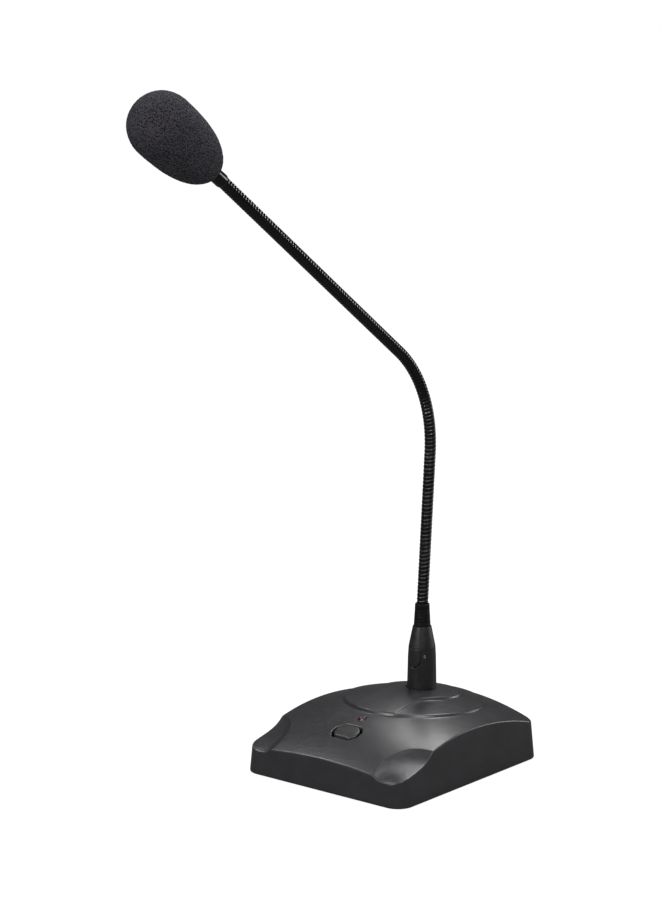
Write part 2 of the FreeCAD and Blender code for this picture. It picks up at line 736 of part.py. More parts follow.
def foam_windscreen():
    """An egg of revolution with a straight bore from its mouth."""
    def radius(along):
        length, power = (FOAM_REAR, FOAM_REAR_POWER) if along < 0 else (FOAM_FRONT, FOAM_FRONT_POWER)
        return FOAM_R * math.sqrt(max(0.0, 1 - (abs(along) / length) ** power))

    mouth = SLEEVE_SHOWN + FOAM_REAR
    rear = [-FOAM_REAR * share for share in (0.982, 0.95, 0.88, 0.75, 0.55, 0.3, 0.0)]
    front = [FOAM_FRONT * share for share in (0.0, 0.35, 0.65, 0.87, 0.97, 1.0)]
    across = Vector(1, 0, 0)

    def curve_through(stops):
        curve = Part.BSplineCurve()
        curve.interpolate([head_point(mouth + a) + across * radius(a) for a in stops])
        return curve.toShape()

    rear_edge, front_edge = curve_through(rear), curve_through(front)
    tip, mouth_rim = head_point(mouth + FOAM_FRONT), rear_edge.Vertexes[0].Point
    mouth_centre = head_point((mouth_rim - HEAD_START).dot(HEAD_AXIS))
    bottom = [Part.makeLine(tip, mouth_centre), Part.makeLine(mouth_centre, mouth_rim)]
    egg = Part.Face(Part.Wire([rear_edge, front_edge] + bottom)).revolve(mouth_centre, HEAD_AXIS, 360)
    return egg.cut(rod(FOAM_BORE_R, head_point(SLEEVE_SHOWN - 5), head_point(SLEEVE_SHOWN + FOAM_BORE_DEPTH)))


# Every node ------------------------------------------------------------------------------
PIECES = [
    top_shell, bottom_plate, ballast_plate, ballast_screws, rubber_pad, bottom_screws, circuit_board,
    board_screws, board_parts, switch_body, switch_plunger, button_cap, button_spring, light_spacer,
    indicator_light, socket_shell, socket_insert, socket_pins, socket_screws, socket_wires, output_shell,
    output_insert, output_pins, output_screws, output_wires, plug_shell, plug_insert, plug_contacts,
    latch_button, latch_spring, plug_set_screw, strain_boot, cable_clamp, plug_leads, neck_root,
    neck_cable_root, head_sleeve, capsule_housing, capsule_grille, capsule, capsule_ring, capsule_leads,
    foam_windscreen,
]


def write(name, made):
    shape = Part.makeCompound(made) if isinstance(made, list) else made
    shape.exportStep(f"parts/{name}.step")


os.makedirs("parts", exist_ok=True)
for piece in PIECES:
    write(piece.__name__, piece())
for link in range(1, LINKS + 1):
    write(f"neck_link_{link}", neck_link(link))
    write(f"neck_cable_{link}", neck_cable(link))
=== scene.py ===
"""Looks of the gooseneck desk microphone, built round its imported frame.

Shapes are worked out in millimetres in the frame's own axes and turned into metres when a mesh
is made. -Y is the front, +Z is up, and the origin is the centre of the base's footprint.
"""
import json
import math

import bmesh
import bpy
import numpy as np
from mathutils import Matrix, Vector, noise


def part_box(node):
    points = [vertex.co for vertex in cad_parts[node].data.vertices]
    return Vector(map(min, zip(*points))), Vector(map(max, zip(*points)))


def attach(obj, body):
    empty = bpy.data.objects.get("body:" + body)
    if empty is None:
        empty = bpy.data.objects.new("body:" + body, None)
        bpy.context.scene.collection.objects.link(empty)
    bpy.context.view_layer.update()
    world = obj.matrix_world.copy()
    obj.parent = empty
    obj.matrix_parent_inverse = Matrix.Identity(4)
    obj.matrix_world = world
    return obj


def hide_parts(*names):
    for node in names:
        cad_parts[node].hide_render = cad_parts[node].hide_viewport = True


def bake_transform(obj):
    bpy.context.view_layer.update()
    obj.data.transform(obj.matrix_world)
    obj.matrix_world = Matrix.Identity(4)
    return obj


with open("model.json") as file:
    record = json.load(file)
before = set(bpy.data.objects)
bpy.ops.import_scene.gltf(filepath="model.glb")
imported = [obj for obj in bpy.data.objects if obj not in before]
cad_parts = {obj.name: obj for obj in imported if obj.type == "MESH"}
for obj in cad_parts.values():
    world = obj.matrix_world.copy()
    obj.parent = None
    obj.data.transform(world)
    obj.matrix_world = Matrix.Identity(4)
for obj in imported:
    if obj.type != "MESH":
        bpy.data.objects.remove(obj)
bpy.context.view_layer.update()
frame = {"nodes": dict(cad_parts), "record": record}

MM = 0.001
UP = np.array([0.0, 0.0, 1.0])
ACROSS = np.array([1.0, 0.0, 0.0])
REARWARD = np.array([0.0, 1.0, 0.0])


def node_box(node):
    """A CAD node's lowest and highest corners in millimetres."""
    low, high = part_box(node)
    return np.array(low) / MM, np.array(high) / MM


# Base
CREST_Z = 42.3            # height of the top's smooth surface above the origin
HALF_W = 60.0             # half width and half depth that this surface is described with
HALF_D = 71.0
SHELL_LOW, SHELL_HIGH = node_box("top_shell")
HALF_WIDTH = SHELL_HIGH[0]
HALF_DEPTH = SHELL_HIGH[1]
RIM_Z = SHELL_LOW[2]
CORNER_R = 11.2
DRAFT = 0.096
WALL = 2.4
TOP_SKIN = 2.6
EDGE_R = 0.9              # rounding of the edge between top and walls
RIM_R = 1.3               # rounding of the walls' foot
CELL = 0.38               # mesh size on the top
DISC_STEP = 1.6           # run of the slope round the disc
KEY_STEP = 0.8            # run of the slope round the keyhole
DISC_Y = 21.0
DISC_R = 45.0
KEY_R = 25.5
KEY_BAND = 17.0
DISC_FRONT_RISE = 1.7
DISC_REAR_RISE = 1.1
KEY_RISE = 1.7            # of the keyhole over the disc, at the plug
KEY_FRONT_RISE = 0.4      # and at the disc's front edge
SCOOP_CORNER = (61.0, 71.0)
SCOOP_CENTRE = (-4.0, 8.0)  # of a scoop's crease, inwards and rearwards from that corner
SCOOP_R = math.sqrt(650)  # of the crease
SCOOP_DEEPEST = 0.68      # share of the way from the corner to the crease
SCOOP_DEPTH = 1.8         # along the front
SCOOP_SIDE_DEPTH = 1.6    # added along the side
BUTTON_Y = -46.6
BUTTON_HOLE = (20.0, 13.2)
BUTTON_CAP = (17.5, 11.0)
BUTTON_LIP = 0.6          # slope round the button's opening
BUTTON_PROUD = 0.35
BUTTON_ROUND_R = 1.2
LIGHT_Y = -31.7
LIGHT_R = 1.5
LIGHT_HOLE_R = 2.5
FOOT_ROUND_RINGS = (0.25, 0.5, 0.75, 1.0)

# Connectors in the base
PLUG_Y = 29.2
BARREL_R = 8.1
BARREL_OUTER = 9.8
BARREL_HOLE_R = 9.95      # of the openings that the barrels stand in
BARREL_BEHIND = 2.0       # of a barrel and its pins behind the connector's floor
INSERT_R = 8.05
INSERT_T = 3.0
PIN_R = 1.175
PIN_SHANK_R = 1.6         # of the thicker part of a pin that the insert holds
PIN_LENGTH = 11.5
PIN_CIRCLE_R = 4.0
SOCKET_FLOOR = 27.0
SOCKET_MOUTH = 44.6
OUTPUT_Z = 18.0
OUTPUT_FLOOR = 56.0
OUTPUT_MOUTH = 72.6
OUTPUT_SCREW_X = 13.5
SCREW_HOLE_R = 1.5

# Plug
NOSE_Z = 30.6
NOSE_R = 7.95
NOSE_BORE_R = 6.8
BODY_LOW_Z = 44.9
BODY_TOP_Z = 85.3
BODY_BORE_R = 7.5
BOOT_ROOT_Z = 78.0
BOOT_TOP_Z = 100.1
BOOT_FOOT_R = 5.45
BOOT_BORE_R = 3.8
BOOT_RIBS = 5
BOOT_RIB_PITCH = 2.0
LATCH_LOW_Z = 59.6
LATCH_HIGH_Z = 71.5
LATCH_HALF_W = 4.5
SET_SCREW_Z = 67.0
SET_SCREW_TURN = -42.0    # degrees from +X

# Neck
NECK_R = 3.7
NECK_START_Z = 100.0
LEAN = -4.1
LOWER_STRAIGHT = 96.8
BEND_R = 76.0
BEND_ANGLE = 59.0
UPPER_STRAIGHT = 197.5
LINKS = 8
WIND_PITCH = 2.5
WIND_DEPTH = 0.6

# Head and windscreen
HEAD_HEADING = 56.2
HEAD_R = 4.2
HEAD_BORE_R = 3.7
SLEEVE_LENGTH = 18.0
HEAD_LENGTH = 43.0
SLEEVE_SHOWN = 9.1
FOAM_R = 19.4
FOAM_REAR = 49.2
FOAM_FRONT = 19.6
FOAM_REAR_POWER = 2.76
FOAM_FRONT_POWER = 2.05
FOAM_BORE_R = 4.3
FOAM_BORE_END = SLEEVE_SHOWN + 38.0
FINE_PORES = 950.0        # waves of the skin's relief in a metre, and its depth
FINE_DEPTH = 0.16
COARSE_PORES = 120.0
COARSE_DEPTH = 0.12

# Stage
FLOOR_HALF = 60.0         # metres
FLOOR_GLOW = 0.95         # light the floor gives the camera of its own
FLOOR_RETURN = 0.06       # share of light that the floor throws back at the object
FLOOR_FILL = 0.9          # even light from the floor that only matt surfaces meet
ROOM_HORIZON = 0.05       # brightness of the dim room round the object
ROOM_CEILING = 0.16
ROOM_FILL = 1.4           # even light from the room that only matt surfaces meet
LIGHTS_AIM = (0, -20, 80)
LIGHTS_DISTANCE = 1450
CAMERA_AIM = (-53.5, 1.5, 196.9)
CAMERA_DISTANCE = 1562.1
CAMERA_AZIMUTH = 39.63    # degrees to the right of the front
CAMERA_ELEVATION = 10.17
CAMERA_LENS = 98.25


# Mesh helpers ----------------------------------------------------------------------------
def shade(tidy, smooth_angle):
    """Smooth shading of a bmesh, with edges kept sharp where faces meet at more than an angle."""
    sharp = math.radians(smooth_angle)
    for face in tidy.faces:
        face.smooth = True
    for edge in tidy.edges:
        edge.smooth = len(edge.link_faces) != 2 or edge.calc_face_angle(0.0) < sharp


def make(name, points, faces, smooth_angle=35.0):
    """A mesh object from points in millimetres, smooth shaded except across sharp edges."""
    mesh = bpy.data.meshes.new(name)
    mesh.from_pydata((np.asarray(points, float) * MM).tolist(), [], [list(f) for f in faces])
    tidy = bmesh.new()
    tidy.from_mesh(mesh)
    bmesh.ops.remove_doubles(tidy, verts=tidy.verts, dist=0.002 * MM)
    bmesh.ops.recalc_face_normals(tidy, faces=tidy.faces)
    shade(tidy, smooth_angle)
    tidy.to_mesh(mesh)
    tidy.free()
    piece = bpy.data.objects.new(name, mesh)
    bpy.context.scene.collection.objects.link(piece)
    return piece


def grid_faces(rows, columns, wrap_rows=False, wrap_columns=False):
    """Quads over a rows x columns grid of points, joined end to start where it wraps."""
    r = np.arange(rows if wrap_rows else rows - 1)
    c = np.arange(columns if wrap_columns else columns - 1)
    rr, cc = np.meshgrid(r, c, indexing="ij")
    r2, c2 = (rr + 1) % rows, (cc + 1) % columns
    corners = (rr * columns + cc, rr * columns + c2, r2 * columns + c2, r2 * columns + cc)
    return np.stack([k.ravel() for k in corners], axis=1)


def rounded(corners, closed=False, steps=5):
    """A path through (a, b, radius) corners, each rounded with an arc of its radius."""
    path = []
    count = len(corners)
    for i, (a, b, radius) in enumerate(corners):
        here = np.array([a, b], float)
        if radius == 0 or (not closed and i in (0, count - 1)):
            path.append(here)
            continue
        before = np.array(corners[i - 1][:2], float) - here
        after = np.array(corners[(i + 1) % count][:2], float) - here
        before, after = before / np.linalg.norm(before), after / np.linalg.norm(after)
        half = math.acos(np.clip(before @ after, -1, 1)) / 2
        reach = radius / math.tan(half)
        start, end = here + before * reach, here + after * reach
        for t in np.linspace(0, 1, steps + 1):
            path.append((1 - t) ** 2 * start + 2 * t * (1 - t) * here + t ** 2 * end)
    return path


def square_pair(axis):
    """Two directions at right angles to an axis and to each other."""
    axis = axis / np.linalg.norm(axis)
    first = np.cross(axis, ACROSS if abs(axis[0]) < 0.9 else UP)
    first = first / np.linalg.norm(first)
    return first, np.cross(axis, first)


def lathe(name, profile, base, axis, around=64, closed=True, smooth_angle=35.0):
    """A turned piece: (distance along the axis, radius) points revolved round the axis."""
    base, axis = np.array(base, float), np.array(axis, float)
    first, second = square_pair(axis)
    turns = np.linspace(0, 2 * math.pi, around, endpoint=False)
    spokes = np.outer(np.cos(turns), first) + np.outer(np.sin(turns), second)
    rows = [base + axis * along + spokes * max(radius, 0.0) for along, radius in profile]
    faces = grid_faces(len(rows), around, wrap_rows=closed, wrap_columns=True)
    return make(name, np.concatenate(rows), faces, smooth_angle)


def cut(piece, cutters, smooth_angle=35.0):
    """Cuts closed meshes out of a closed mesh and throws the cutters away."""
    for cutter in cutters:
        modifier = piece.modifiers.new("cut", "BOOLEAN")
        modifier.operation = "DIFFERENCE"
        modifier.solver = "MANIFOLD"
        modifier.object = cutter
    graph = bpy.context.evaluated_depsgraph_get()
    result = bpy.data.meshes.new_from_object(piece.evaluated_get(graph))
    piece.modifiers.clear()
    piece.data = result
    for cutter in cutters:
        bpy.data.objects.remove(cutter)
    tidy = bmesh.new()
    tidy.from_mesh(piece.data)
    shade(tidy, smooth_angle)
    tidy.to_mesh(piece.data)
    tidy.free()
    return piece


def soft_step(t):
    """0 below 0, 1 above 1, with a smooth rise between."""
    t = np.clip(t, 0.0, 1.0)
    return t * t * (3 - 2 * t)


# The base's top surface ------------------------------------------------------------------
def dome(x, y):
    """The smooth crown of the base, in millimetres above the table."""
    t = y / HALF_D
    spine = CREST_Z + 4.4 * t - 13.2 * t ** 2 + 2.5 * t ** 3 - 1.5 * t ** 4
    sag = 7.8 + 3.4 * t
    return spine - sag * (x / HALF_W) ** 2


def disc_share(x, y):
    """1 on the raised disc and 0 off it."""
    return soft_step((DISC_R - np.hypot(x, y - DISC_Y)) / DISC_STEP + 0.5)


def key_share(x, y):
    """1 on the keyhole step, a circle round the plug and a band that runs forward from it."""
    circle = np.hypot(x, y - PLUG_Y) - KEY_R
    band = np.maximum(np.abs(x) - KEY_BAND, y - PLUG_Y)
    ease = 5.0
    mix = np.clip(0.5 + 0.5 * (band - circle) / ease, 0, 1)
    outside = band * (1 - mix) + circle * mix - ease * mix * (1 - mix)
    return soft_step(0.5 - outside / KEY_STEP)


def scoop(x, y):
    """Depth of the hollows at the two front corners: none at the corner, most just before the
    round crease that ends them, deeper along the side than along the front."""
    inwards, rearwards = SCOOP_CORNER[0] - np.abs(x), SCOOP_CORNER[1] + y
    reach = np.hypot(inwards, rearwards) + 1e-9
    towards_centre = (SCOOP_CENTRE[0] * inwards + SCOOP_CENTRE[1] * rearwards) / reach
    corner_inside = SCOOP_R ** 2 - SCOOP_CENTRE[0] ** 2 - SCOOP_CENTRE[1] ** 2
    crease = towards_centre + np.sqrt(towards_centre ** 2 + corner_inside)
    share = reach / crease
    rise = soft_step(share / SCOOP_DEEPEST) ** 0.75
    past = np.clip(share - SCOOP_DEEPEST, 0, None) / (1 - SCOOP_DEEPEST)
    fall = np.clip(1 - past ** 2.4, 0, 1)
    deepest = SCOOP_DEPTH + SCOOP_SIDE_DEPTH * (np.clip(rearwards, 0, None) / reach) ** 2
    return np.where(share < 1, deepest * rise * fall, 0.0)


def disc_rise(y):
    """How far the disc stands above the dome: most at its front edge."""
    back = (y - (DISC_Y - DISC_R)) / (2 * DISC_R)
    return DISC_FRONT_RISE + (DISC_REAR_RISE - DISC_FRONT_RISE) * back


def key_rise(y):
    """How far the keyhole stands above the disc: most at the plug, least at the disc's front edge."""
    share = (y - PLUG_Y) / (DISC_Y - DISC_R - PLUG_Y)
    return KEY_RISE + (KEY_FRONT_RISE - KEY_RISE) * share ** 2


def top(x, y):
    """The finished top surface."""
    steps = disc_rise(y) + key_rise(y) * key_share(x, y)
    return dome(x, y) + disc_share(x, y) * steps - scoop(x, y)


def inside_top(x, y):
    """The underside of the top, without the steps."""
    return dome(x, y) - TOP_SKIN - 1.5 * scoop(x, y)


def perimeter():
    """Points of the base's inner rectangle with an outward direction each, running round it."""
    core_x, core_y = HALF_WIDTH - CORNER_R, HALF_DEPTH - CORNER_R
    xs = np.linspace(-core_x, core_x, int(round(2 * core_x / CELL)) + 1)
    ys = np.linspace(-core_y, core_y, int(round(2 * core_y / CELL)) + 1)
    arc = np.linspace(0, math.pi / 2, 17)[1:-1]
    sides = [
        ([(core_x, y) for y in ys], 0),
        ([(x, core_y) for x in xs[::-1]], 1),
        ([(-core_x, y) for y in ys[::-1]], 2),
        ([(x, -core_y) for x in xs], 3),
    ]
    cores, ways = [], []
    for places, quarter in sides:
        start = quarter * math.pi / 2
        cores += places
        ways += [(math.cos(start), math.sin(start))] * len(places)
        cores += [places[-1]] * len(arc)
        ways += [(math.cos(start + a), math.sin(start + a)) for a in arc]
    return xs, ys, np.array(cores), np.array(ways)


def skin(height, inset, edge_r, foot, cores, ways):
    """Rings of points from the inner rectangle out over the edge and down to the foot. The edge is
    where the leaning wall meets the surface, found by a few rounds of correction."""
    def at(depth):
        return cores + ways * (CORNER_R - depth)[:, None]

    def on_top(depth):
        place = at(depth)
        return np.column_stack([place, height(place[:, 0], place[:, 1])])

    def on_wall(z):
        return np.column_stack([at(inset + DRAFT * (z - RIM_Z)), z])

    edge = np.full(len(cores), inset)
    for _ in range(4):
        edge = inset + DRAFT * (on_top(edge)[:, 2] - RIM_Z)
    corner = on_top(edge)
    start, end = on_top(edge + edge_r), on_wall(corner[:, 2] - edge_r)
    rings = []
    for share in np.linspace(0, 1, 24)[1:]:
        rings.append(on_top(CORNER_R + (edge + edge_r - CORNER_R) * share ** 0.8))
    for t in np.linspace(0, 1, 7)[1:]:
        rings.append((1 - t) ** 2 * start + 2 * t * (1 - t) * corner + t ** 2 * end)
    for share in np.linspace(0, 1, 9)[1:]:
        rings.append(on_wall(end[:, 2] + (foot - end[:, 2]) * share))
    return rings


def along_the_disc(quads, x, y):
    """Quads whose first diagonal runs along the disc's edge, so that the edge shades evenly."""
    against = x[quads[:, 0]] * (y[quads[:, 0]] - DISC_Y) > 0
    quads[against] = np.roll(quads[against], 1, axis=1)
    return quads


def laid_on(height, x, y):
    """Points of a surface over places in plan."""
    return np.column_stack([x, y, height(x, y)])


def band_faces(first, second, count):
    """Quads between two closed rings of points, given where each ring's points begin."""
    step = np.arange(count)
    following = (step + 1) % count
    return np.column_stack([first + step, first + following, second + following, second + step])


def base_shell():
    """The moulded top of the base as a closed shell, with its openings cut through."""
    xs, ys, cores, ways = perimeter()
    count = len(cores)
    ones = np.ones(count)
    outer = skin(top, 0.0, EDGE_R, RIM_Z + RIM_R, cores, ways)
    foot = outer[-1]
    toe = np.column_stack([cores + ways * CORNER_R, RIM_Z * ones])
    landing = np.column_stack([cores + ways * (CORNER_R - 0.8 * RIM_R), RIM_Z * ones])
    for t in FOOT_ROUND_RINGS:
        outer.append((1 - t) ** 2 * foot + 2 * t * (1 - t) * toe + t ** 2 * landing)
    inner = skin(inside_top, WALL, 0.8, RIM_Z, cores, ways)
    rings = outer + inner[::-1]
    grid_x, grid_y = np.meshgrid(xs, ys, indexing="ij")
    flat_x, flat_y = grid_x.ravel(), grid_y.ravel()
    points = [laid_on(height, flat_x, flat_y) for height in (top, inside_top)]
    patch = along_the_disc(grid_faces(len(xs), len(ys)), flat_x, flat_y)
    size = len(flat_x)
    first_ring = 2 * size
    points = np.concatenate(points + rings)
    sides = grid_faces(len(rings), count, wrap_columns=True) + first_ring
    core_ring = [laid_on(height, cores[:, 0], cores[:, 1]) for height in (top, inside_top)]
    points = np.concatenate([points] + core_ring)
    last_ring = first_ring + (len(rings) - 1) * count
    top_core = last_ring + count
    inside_core = top_core + count
    to_top = band_faces(top_core, first_ring, count)
    to_inside = band_faces(last_ring, inside_core, count)
    faces = [patch, patch[:, ::-1] + size, sides, to_top, to_inside]
    shell = make("base_shell", points, np.concatenate(faces))
    return cut(shell, shell_cutters(), smooth_angle=65.0)


def button_outline(size, corner_r=2.4, steps=6):
    """The button's shape in plan: straight front and rear, with ends drawn out to flat noses."""
    hx, hy = size[0] / 2, size[1] / 2
    quarter = [(hx, 0.40 * hy), (0.66 * hx, hy)]
    corners = quarter + [(-x, y) for x, y in quarter[::-1]]
    corners += [(-x, -y) for x, y in quarter] + [(x, -y) for x, y in quarter[::-1]]
    return np.array(rounded([(x, y, corner_r) for x, y in corners], closed=True, steps=steps))


def stack(name, rings, smooth_angle=35.0):
    """A closed piece from a stack of rings of points, capped at both ends."""
    count = len(rings[0])
    points = np.concatenate(rings)
    faces = [list(f) for f in grid_faces(len(rings), count, wrap_columns=True)]
    faces += [list(range(count))[::-1], [(len(rings) - 1) * count + i for i in range(count)]]
    return make(name, points, faces, smooth_angle)


def drill(name, profile, base, axis=UP, around=96):
    """A closed turned shape to cut with, from (distance along the axis, radius) points."""
    profile = [(profile[0][0], 0)] + profile + [(profile[-1][0], 0)]
    return lathe(name, profile, base, axis, around, closed=False)


def button_cutter():
    """Opens the shell for the button, with a short slope round the opening."""
    plan = button_outline(BUTTON_HOLE)
    centre = np.array([0.0, BUTTON_Y])

    def level(grow, lift):
        place = plan * (1 + grow / np.abs(plan).max(axis=0)) + centre
        return np.column_stack([place, top(place[:, 0], place[:, 1]) + lift])

    low = level(0, 0)
    low[:, 2] = 20.0
    slope = [level(0, -BUTTON_LIP), level(BUTTON_LIP, 0.02)]
    return stack("cut_button", [low] + slope + [level(BUTTON_LIP, 6)])


def light_cutter():
    """Opens the shell for the light, with a funnel round it."""
    here = float(top(0.0, LIGHT_Y))
    funnel_r = 3.3
    profile = [(20, LIGHT_HOLE_R), (here - 0.9, LIGHT_HOLE_R), (here + 1.2, funnel_r), (50, funnel_r)]
    return drill("cut_light", profile, (0, LIGHT_Y, 0), around=48)


def socket_cutter():
    """Opens the shell for the plug, with a flare at the top."""
    here = float(top(0.0, PLUG_Y))
    flare_r = 10.9
    profile = [(25, BARREL_HOLE_R), (here - 0.45, BARREL_HOLE_R), (here + 0.6, flare_r), (60, flare_r)]
    return drill("cut_socket", profile, (0, PLUG_Y, 0))


def wall_cutter(name, x, radius, around):
    """Opens the rear wall with a round hole at the output's height."""
    return drill(name, [(60, radius), (80, radius)], (x, 0, OUTPUT_Z), REARWARD, around)


def shell_cutters():
    """Closed shapes that open the shell: the button, the light, the socket and the rear output."""
    holes = [wall_cutter("cut_output", 0, BARREL_HOLE_R, 96)]
    for i, x in enumerate((-OUTPUT_SCREW_X, OUTPUT_SCREW_X)):
        holes.append(wall_cutter(f"cut_screw_{i}", x, SCREW_HOLE_R, 24))
    return [button_cutter(), light_cutter(), socket_cutter()] + holes


def button_cap():
    """The button's cap: its top follows the base's slope and is rounded over at the rim."""
    plan = button_outline(BUTTON_CAP, corner_r=2.2)
    centre = np.array([0.0, BUTTON_Y])
    rings = []

    def level(share, lift):
        place = plan * share + centre
        return np.column_stack([place, top(place[:, 0], place[:, 1]) + lift])

    low = level(1.0, 0.0)
    low[:, 2] = 28.4
    rings.append(low)
    rings += [level(1.0, lift) for lift in (-2.5, BUTTON_PROUD - BUTTON_ROUND_R)]
    for turn in np.linspace(0, math.pi / 2, 9)[1:]:
        drop = BUTTON_ROUND_R * (1 - math.sin(turn))
        rings.append(level(1 - 0.14 * (1 - math.cos(turn)), BUTTON_PROUD - drop))
    rings += [level(share, BUTTON_PROUD) for share in (0.7, 0.5, 0.25, 0.02)]
    return stack("button", rings, 50)


# Turned pieces ---------------------------------------------------------------------------
def light_lens():
    """The indicator's clear red lens, with its flange."""
    peak = float(top(0.0, LIGHT_Y)) - 0.1
    foot, flange_top, flange_r = 32.6, 33.5, 2.0
    profile = [(foot, 0), (foot, flange_r), (flange_top, flange_r), (flange_top, LIGHT_R)]
    for a in np.linspace(0, math.pi / 2, 10):
        profile.append((peak - LIGHT_R + LIGHT_R * math.sin(a), LIGHT_R * math.cos(a)))
    return lathe("light_lens", profile, (0, LIGHT_Y, 0), UP, 40, closed=False)


def barrel(name, floor, mouth, base, axis):
    """A male connector's barrel: a ring with rounded lips."""
    low = floor - BARREL_BEHIND
    corners = [(low, BARREL_R, 0.2), (low, BARREL_OUTER, 0.4)]
    corners += [(mouth, BARREL_OUTER, 0.45), (mouth, BARREL_R, 0.35)]
    return lathe(name, rounded(corners, closed=True), base, axis, 96)


def insert(name, floor, base, axis):
    """The disc that holds a connector's contacts."""
    high = floor + INSERT_T
    profile = rounded([(floor, 0, 0), (floor, INSERT_R, 0.2), (high, INSERT_R, 0.3), (high, 0, 0)])
    return lathe(name, profile, base, axis, 64, closed=False)


def contact_pins(name, floor, base, axis):
    """Three round contacts with a thick shank and domed tips."""
    low, shoulder = floor - BARREL_BEHIND, floor + INSERT_T
    tip = shoulder + PIN_LENGTH
    lift = UP if axis is REARWARD else REARWARD
    pins = []
    for turn in (90, 210, 330):
        spot = np.array(base, float) + ACROSS * PIN_CIRCLE_R * math.cos(math.radians(turn))
        spot = spot + lift * PIN_CIRCLE_R * math.sin(math.radians(turn))
        shank = [(low, 0, 0), (low, PIN_SHANK_R, 0.2), (shoulder, PIN_SHANK_R, 0.1)]
        pin = [(shoulder, PIN_R, 0.1), (tip, PIN_R, 0.9), (tip, 0, 0)]
        pins.append(lathe(f"{name}_{turn}", rounded(shank + pin), spot, axis, 32, closed=False))
    return joined(name, pins)


def joined(name, pieces):
    """Several meshes as one piece."""
    whole = bmesh.new()
    for piece in pieces:
        whole.from_mesh(piece.data)
    mesh = bpy.data.meshes.new(name)
    whole.to_mesh(mesh)
    whole.free()
    for piece in pieces:
        bpy.data.objects.remove(piece)
    result = bpy.data.objects.new(name, mesh)
    bpy.context.scene.collection.objects.link(result)
    return result


def plug_profile():
    """The plug's body from its foot to its top, as (height, radius, rounding) corners."""
    foot = [(BODY_LOW_Z, 9.45, 0.35), (46.6, 9.42, 0.0)]
    return foot + [(66.0, 9.0, 6.0), (72.2, 8.62, 2.5), (BODY_TOP_Z, 6.0, 0.3)]


def latch_plan(grow=0.0, arc_steps=24, side_steps=1):
    """The latch's outline seen from the front: a round lower end and a flat top."""
    half_w = LATCH_HALF_W + grow
    centre_z = LATCH_LOW_Z + LATCH_HALF_W
    high_z = LATCH_HIGH_Z + grow
    arc = np.linspace(math.pi, 2 * math.pi, arc_steps + 1)
    plan = [(half_w * math.cos(a), centre_z + half_w * math.sin(a)) for a in arc]
    plan += [(half_w, z) for z in np.linspace(centre_z, high_z, side_steps + 1)[1:]]
    plan += [(half_w * share, high_z) for share in np.linspace(1, -1, side_steps + 1)[1:]]
    plan += [(-half_w, z) for z in np.linspace(high_z, centre_z, side_steps + 1)[1:-1]]
    return np.array(plan)


def latch_window():
    """The opening in the plug's side, flared where it meets the outer face."""
    rings = []
    for grow, y in ((0.95, -12.0), (0.95, -9.4), (0.28, -8.7), (0.28, -4.0)):
        plan = latch_plan(grow)
        rings.append(np.column_stack([plan[:, 0], np.full(len(plan), PLUG_Y + y), plan[:, 1]]))
    return stack("cut_window", rings)


def plug_body():
    """The plug's shell from its nose to the foot of the boot, with the latch's window cut."""
    inner = [(BODY_TOP_Z, 5.1, 0.2), (70.0, BODY_BORE_R, 0.5)]
    inner += [(46.0, BODY_BORE_R, 0.2), (46.0, NOSE_BORE_R, 0.2)]
    nose = [(NOSE_Z, NOSE_BORE_R, 0.2), (NOSE_Z, NOSE_R, 0.4), (BODY_LOW_Z, NOSE_R, 0.1)]
    outer = nose + plug_profile()
    body = lathe("plug_body", rounded(outer + inner, closed=True), (0, PLUG_Y, 0), UP, 128)
    thread_r, funnel_r = 1.05, 1.75
    profile = [(6, thread_r), (8.6, thread_r), (9.3, funnel_r), (12, funnel_r)]
    hole = drill("cut_set", profile, (0, PLUG_Y, SET_SCREW_Z), set_screw_way(), 32)
    return cut(body, [latch_window(), hole])


def latch():
    """The push latch: its face stands a little proud of the shell and is rounded at the rim."""
    plan = latch_plan(0.0, 40, 16)
    middle = np.array([0.0, (LATCH_LOW_Z + LATCH_HIGH_Z) / 2])
    heights, radii = zip(*[(z, r) for z, r, _ in plug_profile()])

    def level(share, proud):
        flat = (plan - middle) * share + middle
        x, z = flat[:, 0], flat[:, 1]
        radius = np.interp(z, heights, radii) + proud
        return np.column_stack([x, PLUG_Y - np.sqrt(radius ** 2 - x ** 2), z])

    rings = [level(1.0, lift) for lift in (-1.6, -0.25)]
    for turn in np.linspace(0, math.pi / 2, 6)[1:]:
        rings.append(level(1 - 0.08 * (1 - math.cos(turn)), -0.25 + 0.35 * math.sin(turn)))
    rings += [level(share, 0.1) for share in (0.8, 0.6, 0.4, 0.2, 0.02)]
    return stack("latch", rings, 50)


def set_screw_way():
    """The direction in which the plug's set screw points."""
    turn = math.radians(SET_SCREW_TURN)
    return np.array([math.cos(turn), math.sin(turn), 0.0])


def set_screw():
    """The small grub screw in the plug's side, with a recess in its face."""
    low, recess_floor, face = 7.6, 8.1, 8.7
    corners = [(low, 0, 0), (low, 1.0, 0.1), (face, 1.0, 0.2)]
    corners += [(face, 0.5, 0.05), (recess_floor, 0.45, 0), (recess_floor, 0, 0)]
    centre = (0, PLUG_Y, SET_SCREW_Z)
    return lathe("set_screw", rounded(corners), centre, set_screw_way(), 36, closed=False)


